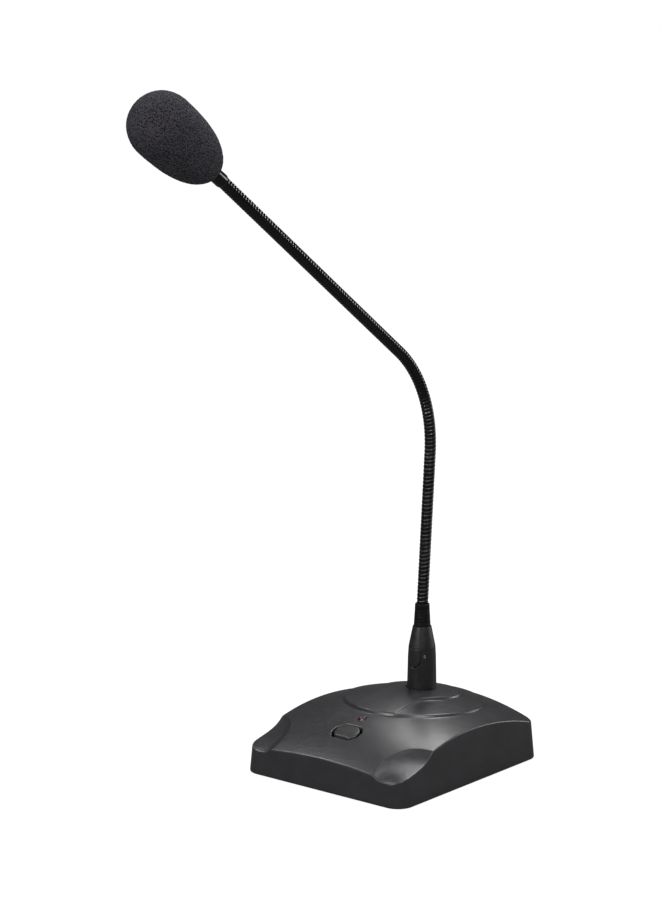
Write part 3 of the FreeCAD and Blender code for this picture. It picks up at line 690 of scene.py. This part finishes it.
def boot():
    """The rubber boot at the neck's root, with shallow ribs and a crowned top."""
    root_r, groove, taper = 4.9, 0.28, 0.85 / 14.0
    ribs = []
    for i in range(BOOT_RIBS):
        z = 88.0 + BOOT_RIB_PITCH * i
        radius = BOOT_FOOT_R - taper * (z - BODY_TOP_Z)
        ribs += [(z - groove, radius, 0), (z, radius - 0.1, 0), (z + groove, radius, 0)]
    corners = [(BOOT_ROOT_Z, BOOT_BORE_R, 0), (BOOT_ROOT_Z, root_r, 0.2)]
    corners += [(BODY_TOP_Z, root_r, 0), (BODY_TOP_Z, BOOT_FOOT_R, 0.25)] + ribs
    corners += [(99.9, 4.62, 0.7), (BOOT_TOP_Z, 3.85, 0.15), (98.0, BOOT_BORE_R, 0)]
    return lathe("boot", rounded(corners, closed=True), (0, PLUG_Y, 0), UP, 96)


# Neck ------------------------------------------------------------------------------------
def heading(degrees):
    """The direction that leans forward of upright by this many degrees."""
    lean = math.radians(degrees)
    return np.array([0.0, -math.sin(lean), math.cos(lean)])


ARC_LENGTH = math.radians(BEND_ANGLE) * BEND_R
NECK_LENGTH = LOWER_STRAIGHT + ARC_LENGTH + UPPER_STRAIGHT
NECK_START = np.array([0.0, PLUG_Y + 0.1, NECK_START_Z])
BEND_CENTRE = NECK_START + heading(LEAN) * LOWER_STRAIGHT - heading(LEAN - 90) * BEND_R


def neck_at(s):
    """The neck's centre line and its lean, at a distance along it from the boot."""
    if s <= LOWER_STRAIGHT:
        return NECK_START + heading(LEAN) * s, LEAN
    if s <= LOWER_STRAIGHT + ARC_LENGTH:
        lean = LEAN + math.degrees((s - LOWER_STRAIGHT) / BEND_R)
        return BEND_CENTRE + heading(lean - 90) * BEND_R, lean
    lean = LEAN + BEND_ANGLE
    past = s - LOWER_STRAIGHT - ARC_LENGTH
    return BEND_CENTRE + heading(lean - 90) * BEND_R + heading(lean) * past, lean


def wound_radius(s, turns):
    """Outer radius of the wound tube: round ridges with narrow grooves, in one helix."""
    phase = (s / WIND_PITCH - turns / (2 * math.pi)) % 1.0
    across = np.abs(2 * phase - 1)
    return NECK_R - WIND_DEPTH * (1 - np.sqrt(np.clip(1 - across ** 2.4, 0, 1)))


def neck_cover(number):
    """The wound tube from the middle of one link to the middle of the next."""
    length = NECK_LENGTH / LINKS
    start = max(0.0, (number - 0.5) * length)
    end = min(NECK_LENGTH, (number + 0.5) * length)
    per_pitch, around = 12, 40
    stops = np.linspace(start, end, int(round((end - start) / WIND_PITCH * per_pitch)) + 1)
    turns = np.linspace(0, 2 * math.pi, around, endpoint=False)
    rings = []
    for s in stops:
        place, lean = neck_at(s)
        radius = wound_radius(s, turns)
        spokes = np.outer(np.cos(turns), ACROSS) + np.outer(np.sin(turns), heading(lean - 90))
        rings.append(place + spokes * radius[:, None])
    return stack(f"neck_{number}", rings, 70)


# Head and windscreen ---------------------------------------------------------------------
HEAD_START = neck_at(NECK_LENGTH)[0]
HEAD_AXIS = heading(HEAD_HEADING)


def head_sleeve():
    """The glossy tube between the neck and the windscreen, with a rolled edge at each end."""
    corners = [(0.0, 3.3, 0.1), (0.0, 3.9, 0.3), (1.0, HEAD_R + 0.05, 0.3)]
    corners += [(SLEEVE_LENGTH, HEAD_R, 0.15), (SLEEVE_LENGTH, HEAD_BORE_R, 0.1)]
    return lathe("head_sleeve", rounded(corners, closed=True), HEAD_START, HEAD_AXIS, 72)


def capsule_housing():
    """The tube that holds the capsule, with three shallow grooves."""
    deep = HEAD_R - 0.25
    corners = [(SLEEVE_LENGTH, HEAD_BORE_R, 0.1), (SLEEVE_LENGTH, HEAD_R, 0.2)]
    for groove in (22.0, 24.5, 27.0):
        corners += [(groove - 0.4, HEAD_R, 0.1), (groove - 0.3, deep, 0.1)]
        corners += [(groove + 0.3, deep, 0.1), (groove + 0.4, HEAD_R, 0.1)]
    corners += [(HEAD_LENGTH, HEAD_R, 0.15), (HEAD_LENGTH, HEAD_BORE_R, 0.1)]
    return lathe("capsule_housing", rounded(corners, closed=True), HEAD_START, HEAD_AXIS, 72)


def foam_radius(along):
    """Radius of the windscreen, at a distance from its widest place towards the tip."""
    length = np.where(along < 0, FOAM_REAR, FOAM_FRONT)
    power = np.where(along < 0, FOAM_REAR_POWER, FOAM_FRONT_POWER)
    return FOAM_R * np.sqrt(np.clip(1 - (np.abs(along) / length) ** power, 0, None))


def windscreen():
    """The foam egg, with open pores pressed into its skin."""
    open_share = 0.982        # of the rear half's length, where the mouth of the bore is
    rear = -FOAM_REAR * np.sin(np.linspace(math.asin(open_share), 0, 150))
    front = FOAM_FRONT * np.sin(np.linspace(0, math.pi / 2, 90))[1:]
    along = np.concatenate([rear, front])
    radius = foam_radius(along)
    around = 340
    turns = np.linspace(0, 2 * math.pi, around, endpoint=False)
    first, second = square_pair(HEAD_AXIS)
    spokes = np.outer(np.cos(turns), first) + np.outer(np.sin(turns), second)
    middle = SLEEVE_SHOWN + FOAM_REAR
    rings = [HEAD_START + HEAD_AXIS * (middle + a) + spokes * r for a, r in zip(along, radius)]
    mouth = middle + along[0]
    inner = [(mouth + 0.25, FOAM_BORE_R + 0.02), (mouth + 12, FOAM_BORE_R)]
    inner += [(FOAM_BORE_END, FOAM_BORE_R), (FOAM_BORE_END, 0.01)]
    bore = [HEAD_START + HEAD_AXIS * a + spokes * r for a, r in inner]
    foam = stack("windscreen", bore[::-1] + rings, 80)
    press_pores(foam)
    return foam


def press_pores(foam):
    """Moves the skin in and out by a fine uneven noise, leaving the bore as it is."""
    mesh = foam.data
    count = len(mesh.vertices)
    places = np.zeros(count * 3)
    mesh.vertices.foreach_get("co", places)
    normals = np.zeros(count * 3)
    mesh.vertices.foreach_get("normal", normals)
    places, normals = places.reshape(-1, 3), normals.reshape(-1, 3)
    rel = places / MM - HEAD_START
    off_axis = np.linalg.norm(rel - np.outer(rel @ HEAD_AXIS, HEAD_AXIS), axis=1)
    skin_share = soft_step((off_axis - 4.6) / 1.5)
    skin_share[rel @ HEAD_AXIS > FOAM_BORE_END + 1] = 1.0
    fine = np.array([noise.noise(Vector(p * FINE_PORES)) for p in places])
    coarse = np.array([noise.noise(Vector(p * COARSE_PORES)) for p in places])
    shift = (FINE_DEPTH * fine + COARSE_DEPTH * coarse) * skin_share * MM
    mesh.vertices.foreach_set("co", (places + normals * shift[:, None]).ravel())
    mesh.update()


# Materials -------------------------------------------------------------------------------
class Look:
    """A small builder for one procedural material."""

    def __init__(self, name, color, roughness, metallic=0.0, specular=0.5):
        self.material = bpy.data.materials.new(name)
        self.material.use_nodes = True
        self.tree = self.material.node_tree
        self.shader = self.tree.nodes["Principled BSDF"]
        self.shader.inputs["Base Color"].default_value = (*color, 1)
        self.shader.inputs["Roughness"].default_value = roughness
        self.shader.inputs["Metallic"].default_value = metallic
        self.shader.inputs["Specular IOR Level"].default_value = specular
        self.places = self.tree.nodes.new("ShaderNodeTexCoord").outputs["Object"]
        self.last_normal = None

    def noise(self, cell_mm, detail=2.0, stretch=(1, 1, 1)):
        """A noise pattern whose blotches are about this many millimetres across."""
        mapping = self.tree.nodes.new("ShaderNodeMapping")
        mapping.inputs["Scale"].default_value = stretch
        self.tree.links.new(self.places, mapping.inputs["Vector"])
        node = self.tree.nodes.new("ShaderNodeTexNoise")
        node.inputs["Scale"].default_value = 1000.0 / cell_mm
        node.inputs["Detail"].default_value = detail
        self.tree.links.new(mapping.outputs["Vector"], node.inputs["Vector"])
        return node.outputs["Fac"]

    def cells(self, cell_mm):
        """A cell pattern, 0 at each cell's middle."""
        node = self.tree.nodes.new("ShaderNodeTexVoronoi")
        node.inputs["Scale"].default_value = 1000.0 / cell_mm
        self.tree.links.new(self.places, node.inputs["Vector"])
        return node.outputs["Distance"]

    def between(self, pattern, low, high, start=0.3, end=0.7):
        """A number that follows a pattern between two values."""
        node = self.tree.nodes.new("ShaderNodeMapRange")
        node.inputs["From Min"].default_value = start
        node.inputs["From Max"].default_value = end
        node.inputs["To Min"].default_value = low
        node.inputs["To Max"].default_value = high
        self.tree.links.new(pattern, node.inputs["Value"])
        return node.outputs["Result"]

    def roughness(self, pattern, low, high):
        self.tree.links.new(self.between(pattern, low, high), self.shader.inputs["Roughness"])
        return self

    def color(self, pattern, dark, light, start=0.3, end=0.7):
        node = self.tree.nodes.new("ShaderNodeValToRGB")
        node.color_ramp.elements[0].position = start
        node.color_ramp.elements[0].color = (*dark, 1)
        node.color_ramp.elements[1].position = end
        node.color_ramp.elements[1].color = (*light, 1)
        self.tree.links.new(pattern, node.inputs["Fac"])
        self.tree.links.new(node.outputs["Color"], self.shader.inputs["Base Color"])
        return self

    def bump(self, pattern, height_mm, strength=1.0):
        """Adds relief from a pattern, on top of any relief added before."""
        node = self.tree.nodes.new("ShaderNodeBump")
        node.inputs["Distance"].default_value = height_mm * MM
        node.inputs["Strength"].default_value = strength
        self.tree.links.new(pattern, node.inputs["Height"])
        if self.last_normal is not None:
            self.tree.links.new(self.last_normal, node.inputs["Normal"])
        self.last_normal = node.outputs["Normal"]
        self.tree.links.new(self.last_normal, self.shader.inputs["Normal"])
        return self


def moulded_plastic(name, color, roughness, grain_mm=0.35, grain_height=0.012):
    """Moulded plastic with a fine etched grain and slightly uneven sheen."""
    look = Look(name, color, roughness)
    blotch = look.noise(14.0, 3.0)
    look.color(blotch, tuple(0.88 * c for c in color), tuple(1.12 * c for c in color))
    look.roughness(look.noise(3.0, 3.0), roughness - 0.04, roughness + 0.05)
    look.bump(look.noise(grain_mm, 2.0), grain_height)
    return look.material


def painted_metal(name, color, roughness):
    """Metal with a smooth dark coat: faint orange peel and a few rubbed places."""
    look = Look(name, color, roughness)
    look.color(look.noise(4.0, 4.0), tuple(0.8 * c for c in color), tuple(1.25 * c for c in color))
    look.roughness(look.noise(2.0, 4.0), roughness - 0.05, roughness + 0.06)
    look.bump(look.noise(0.9, 2.0), 0.004)
    return look.material


def gloss_black(name):
    """Shiny black coat over steel, with fine smears."""
    look = Look(name, (0.045, 0.045, 0.046), 0.18, metallic=1.0)
    look.roughness(look.noise(1.6, 4.0), 0.15, 0.22)
    look.bump(look.noise(0.7, 2.0), 0.002)
    return look.material


def bare_metal(name, color, roughness):
    """Turned or plated bare metal with fine lines."""
    look = Look(name, color, roughness, metallic=1.0)
    look.roughness(look.noise(0.8, 3.0), roughness - 0.08, roughness + 0.1)
    look.color(look.noise(3.0, 3.0), tuple(0.8 * c for c in color), color)
    look.bump(look.noise(0.25, 1.0, (1, 1, 12)), 0.002)
    return look.material


def soft_rubber(name, color=(0.0025, 0.0025, 0.0026)):
    look = Look(name, color, 0.5, specular=0.15)
    look.color(look.noise(5.0, 3.0), tuple(0.8 * c for c in color), tuple(1.3 * c for c in color))
    look.roughness(look.noise(1.0, 2.0), 0.42, 0.58)
    look.bump(look.noise(0.3, 2.0), 0.01)
    return look.material


def open_foam(name):
    """Charcoal foam with a slight violet tint; the pores are painted darker than the skin between
    them, as painted shade in the pores.
    """
    look = Look(name, (0.02, 0.019, 0.023), 0.92, specular=0.1)
    pores = look.cells(0.95)
    # Painted shade: the ramp turns each cell's middle nearly black, standing in for shade inside the
    # pores.
    look.color(pores, (0.0005, 0.0004, 0.0006), (0.0205, 0.0192, 0.0233), 0.25, 0.5)
    look.bump(pores, 0.6)
    look.bump(look.noise(0.45, 2.0), 0.2)
    return look.material


def red_lens(name):
    """Clear red plastic with a faint inner glow."""
    look = Look(name, (0.2, 0.04, 0.06), 0.5, specular=0.15)
    look.roughness(look.noise(1.0, 2.0), 0.45, 0.6)
    look.shader.inputs["Transmission Weight"].default_value = 0.35
    look.shader.inputs["Emission Color"].default_value = (0.8, 0.2, 0.28, 1)
    look.shader.inputs["Emission Strength"].default_value = 0.04
    return look.material


def circuit_green(name):
    look = Look(name, (0.015, 0.09, 0.035), 0.35)
    look.color(look.noise(2.5, 4.0), (0.01, 0.07, 0.03), (0.02, 0.11, 0.045))
    look.bump(look.noise(1.2, 1.0), 0.01)
    return look.material


def make_looks():
    """One material for each of the record's material slots."""
    return {
        "base_plastic": moulded_plastic("base_plastic", (0.0118, 0.0118, 0.0134), 0.34, 0.4, 0.045),
        "black_plastic": moulded_plastic("black_plastic", (0.012, 0.012, 0.013), 0.5),
        "button_plastic": moulded_plastic("button_plastic", (0.0105, 0.0105, 0.0115), 0.38),
        "zinc_black": painted_metal("zinc_black", (0.0055, 0.0055, 0.0062), 0.42),
        "steel": bare_metal("steel", (0.5, 0.5, 0.5), 0.35),
        "screw_steel": bare_metal("screw_steel", (0.45, 0.45, 0.46), 0.32),
        "rubber": soft_rubber("rubber"),
        "board": circuit_green("board"),
        "chip": moulded_plastic("chip", (0.02, 0.02, 0.02), 0.4),
        "contact": bare_metal("contact", (0.8, 0.62, 0.3), 0.25),
        "lens": red_lens("lens"),
        "wire": soft_rubber("wire", (0.03, 0.03, 0.032)),
        "neck_steel": gloss_black("neck_steel"),
        "head_metal": gloss_black("head_metal"),
        "capsule_metal": bare_metal("capsule_metal", (0.6, 0.6, 0.6), 0.3),
        "foam": open_foam("foam"),
    }


def paint(piece, material):
    piece.data.materials.clear()
    piece.data.materials.append(material)


# Building the object ---------------------------------------------------------------------
LOOKS = make_looks()


def place(piece, body, slot, *nodes):
    """Finishes a piece: its material, the body it rides on and the frame nodes it stands for."""
    paint(piece, LOOKS[slot])
    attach(piece, body)
    if nodes:
        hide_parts(*nodes)


def paint_frame_nodes():
    """Gives each node of the frame the procedural material of its slot."""
    slots = {row["node"]: row["material_slot"] for row in frame["record"]["subparts"]}
    for name, node in frame["nodes"].items():
        for i in range(max(1, len(node.material_slots))):
            if not node.material_slots:
                node.data.materials.append(LOOKS[slots[name]])
            node.material_slots[i].material = LOOKS[slots[name]]


def build_base():
    place(base_shell(), "base", "base_plastic", "top_shell")
    place(button_cap(), "button", "button_plastic", "button_cap")
    place(light_lens(), "base", "lens", "indicator_light")
    socket, output = (0, PLUG_Y, 0), (0, 0, OUTPUT_Z)
    socket_barrel = barrel("socket_barrel", SOCKET_FLOOR, SOCKET_MOUTH, socket, UP)
    output_barrel = barrel("output_barrel", OUTPUT_FLOOR, OUTPUT_MOUTH, output, REARWARD)
    insulator = insert("output_insulator", OUTPUT_FLOOR, output, REARWARD)
    place(socket_barrel, "base", "zinc_black", "socket_shell")
    place(output_barrel, "base", "zinc_black", "output_shell")
    place(insulator, "base", "black_plastic", "output_insert")
    output_contacts = contact_pins("output_contacts", OUTPUT_FLOOR, output, REARWARD)
    socket_contacts = contact_pins("socket_contacts", SOCKET_FLOOR, socket, UP)
    place(output_contacts, "base", "contact", "output_pins")
    place(socket_contacts, "base", "contact", "socket_pins")


def build_plug():
    place(plug_body(), "plug", "zinc_black", "plug_shell")
    place(latch(), "latch", "zinc_black", "latch_button")
    place(set_screw(), "plug", "screw_steel", "plug_set_screw")
    place(boot(), "plug", "rubber", "strain_boot")


def build_neck():
    """One cover for each hinge, from the middle of a link to the middle of the next."""
    for number in range(LINKS + 1):
        cover = neck_cover(number)
        paint(cover, LOOKS["neck_steel"])
        if number:
            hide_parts(f"neck_link_{number}")
        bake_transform(cover)


def build_head():
    place(head_sleeve(), "head", "head_metal", "head_sleeve")
    place(capsule_housing(), "head", "head_metal", "capsule_housing")
    place(windscreen(), "windscreen", "foam", "foam_windscreen")


# Stage -----------------------------------------------------------------------------------
def for_rays(tree, kind, value):
    """A number that only one kind of ray meets: "Is Camera Ray" or "Is Diffuse Ray"."""
    share = tree.nodes.new("ShaderNodeMath")
    share.operation = "MULTIPLY"
    share.inputs[1].default_value = value
    tree.links.new(tree.nodes.new("ShaderNodeLightPath").outputs[kind], share.inputs[0])
    return share.outputs["Value"]


def total(tree, first, second):
    """The sum of two numbers."""
    node = tree.nodes.new("ShaderNodeMath")
    tree.links.new(first, node.inputs[0])
    tree.links.new(second, node.inputs[1])
    return node.outputs["Value"]


def pale_floor():
    """A plain pale floor that runs to the horizon and throws little light back at the object."""
    mesh = bpy.data.meshes.new("floor")
    corners = [(a * FLOOR_HALF, b * FLOOR_HALF, 0) for a, b in ((-1, -1), (1, -1), (1, 1), (-1, 1))]
    mesh.from_pydata(corners, [], [(0, 1, 2, 3)])
    floor = bpy.data.objects.new("floor", mesh)
    bpy.context.scene.collection.objects.link(floor)
    grey = (FLOOR_RETURN, FLOOR_RETURN, FLOOR_RETURN)
    look = Look("pale_floor", grey, 0.9, specular=0.0)
    look.color(look.noise(400.0, 2.0), tuple(0.97 * c for c in grey), grey)
    look.shader.inputs["Emission Color"].default_value = (1, 1, 1, 1)
    seen = for_rays(look.tree, "Is Camera Ray", FLOOR_GLOW)
    fill = for_rays(look.tree, "Is Diffuse Ray", FLOOR_FILL)
    look.tree.links.new(total(look.tree, seen, fill), look.shader.inputs["Emission Strength"])
    paint(floor, look.material)


def studio_world():
    """White behind the object, a dim room in its reflections, and even light on matt surfaces."""
    world = bpy.data.worlds.new("studio")
    bpy.context.scene.world = world
    world.use_nodes = True
    tree = world.node_tree
    split = tree.nodes.new("ShaderNodeSeparateXYZ")
    tree.links.new(tree.nodes.new("ShaderNodeTexCoord").outputs["Generated"], split.inputs["Vector"])
    rise = tree.nodes.new("ShaderNodeMapRange")
    rise.inputs["From Min"].default_value = 0.0
    rise.inputs["From Max"].default_value = 0.9
    rise.inputs["To Min"].default_value = ROOM_HORIZON
    rise.inputs["To Max"].default_value = ROOM_CEILING
    tree.links.new(split.outputs["Z"], rise.inputs["Value"])
    seen = for_rays(tree, "Is Camera Ray", 1.0 - ROOM_HORIZON)
    fill = for_rays(tree, "Is Diffuse Ray", ROOM_FILL)
    strength = total(tree, rise.outputs["Result"], total(tree, seen, fill))
    tree.nodes["Background"].inputs["Color"].default_value = (1, 1, 1, 1)
    tree.links.new(strength, tree.nodes["Background"].inputs["Strength"])


def direction(azimuth, elevation):
    """A unit vector: degrees round from the rear towards the left, and degrees up."""
    turn, lift = math.radians(azimuth), math.radians(elevation)
    return Vector((-math.sin(turn) * math.cos(lift), math.cos(turn) * math.cos(lift), math.sin(lift)))


def area_light(name, azimuth, elevation, width_mm, tall_mm, watts):
    """A soft rectangular light that faces the base from a given direction."""
    data = bpy.data.lights.new(name, "AREA")
    data.shape = "RECTANGLE"
    data.size = width_mm * MM
    data.size_y = tall_mm * MM
    data.energy = watts
    light = bpy.data.objects.new(name, data)
    way = direction(azimuth, elevation)
    light.location = (Vector(LIGHTS_AIM) + way * LIGHTS_DISTANCE) * MM
    light.rotation_euler = way.to_track_quat("Z", "Y").to_euler()
    bpy.context.scene.collection.objects.link(light)


def light_the_stage():
    """Soft lights behind and above the object, and weaker ones in front of it."""
    studio_world()
    area_light("top", 0, 64, 210, 210, 12.5)
    area_light("sheen", 34, 52, 210, 210, 5.3)
    area_light("edge", 106, 49, 130, 130, 5)
    area_light("front", 170, 28, 140, 140, 9)
    area_light("key", 235, 46, 160, 160, 11)
    area_light("rear", 332, 14, 700, 380, 6)
    bpy.context.scene.view_settings.view_transform = "Standard"


def aim_camera():
    """The camera, to the right of the front and a little above."""
    away = direction(180 + CAMERA_AZIMUTH, CAMERA_ELEVATION)
    data = bpy.data.cameras.new("camera")
    data.lens = CAMERA_LENS
    data.sensor_width = 36.0
    data.clip_end = 50.0
    camera = bpy.data.objects.new("camera", data)
    camera.location = (Vector(CAMERA_AIM) + away * CAMERA_DISTANCE) * MM
    camera.rotation_euler = away.to_track_quat("Z", "Y").to_euler()
    bpy.context.scene.collection.objects.link(camera)
    bpy.context.scene.camera = camera


paint_frame_nodes()
build_base()
build_plug()
build_neck()
build_head()
pale_floor()
light_the_stage()
aim_camera()
